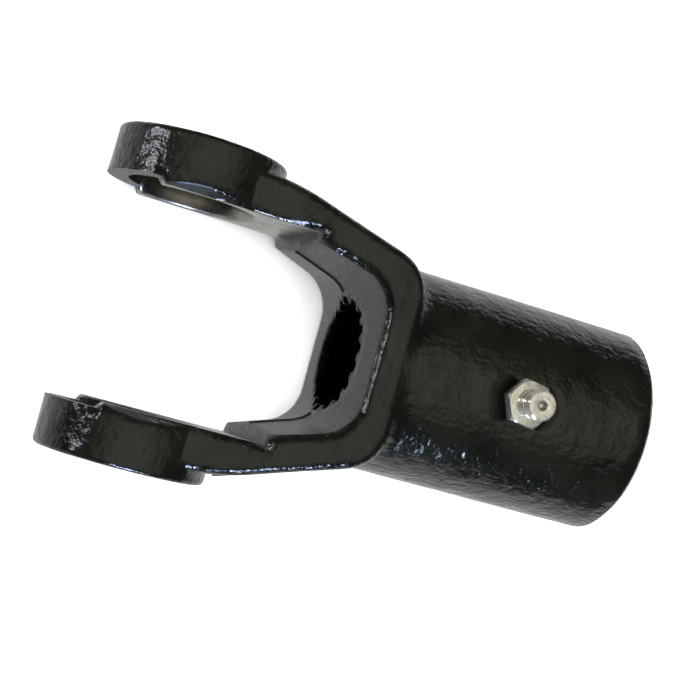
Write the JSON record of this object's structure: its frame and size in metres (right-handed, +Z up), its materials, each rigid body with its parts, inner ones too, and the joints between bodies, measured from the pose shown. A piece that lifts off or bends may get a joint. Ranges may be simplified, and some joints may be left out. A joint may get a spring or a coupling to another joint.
{
  "type": "forged yoke",
  "caption": "Forged driveline yoke with cross-bored ears on a U-shaped fork, a splined hub and a grease fitting in the hub wall.",
  "frame": {"origin": "centre of the cross bearing: on the cup bores' axis, midway between the ears, where it crosses the splined bore's axis", "axes": "+X along the splined bore from the ears to the hub's end face, Y along the cup bores, +Z up along the grease fitting. The yoke lies on its side"},
  "size_m": [0.1219, 0.0672, 0.0524],
  "materials": {
    "black_paint": "gloss black paint over rough forging, with bare machined faces",
    "plated_steel": "turned steel, zinc plated",
    "ball_steel": "polished bearing steel",
    "spring_steel": "drawn spring wire"
  },
  "bodies": {
    "yoke": {"yoke_forging": "black_paint", "grease_fitting_body": "plated_steel", "check_spring": "spring_steel"},
    "check_ball": {"check_ball": "ball_steel"}
  },
  "joints": [
    {"name": "check_ball_slide", "type": "slide", "parent": "yoke", "child": "check_ball", "axis": [0, 0, -1], "range_m": [0, 0.001], "stiffness_N_per_m": 300, "springref_m": -0.001, "deforming": ["check_spring"]}
  ]
}
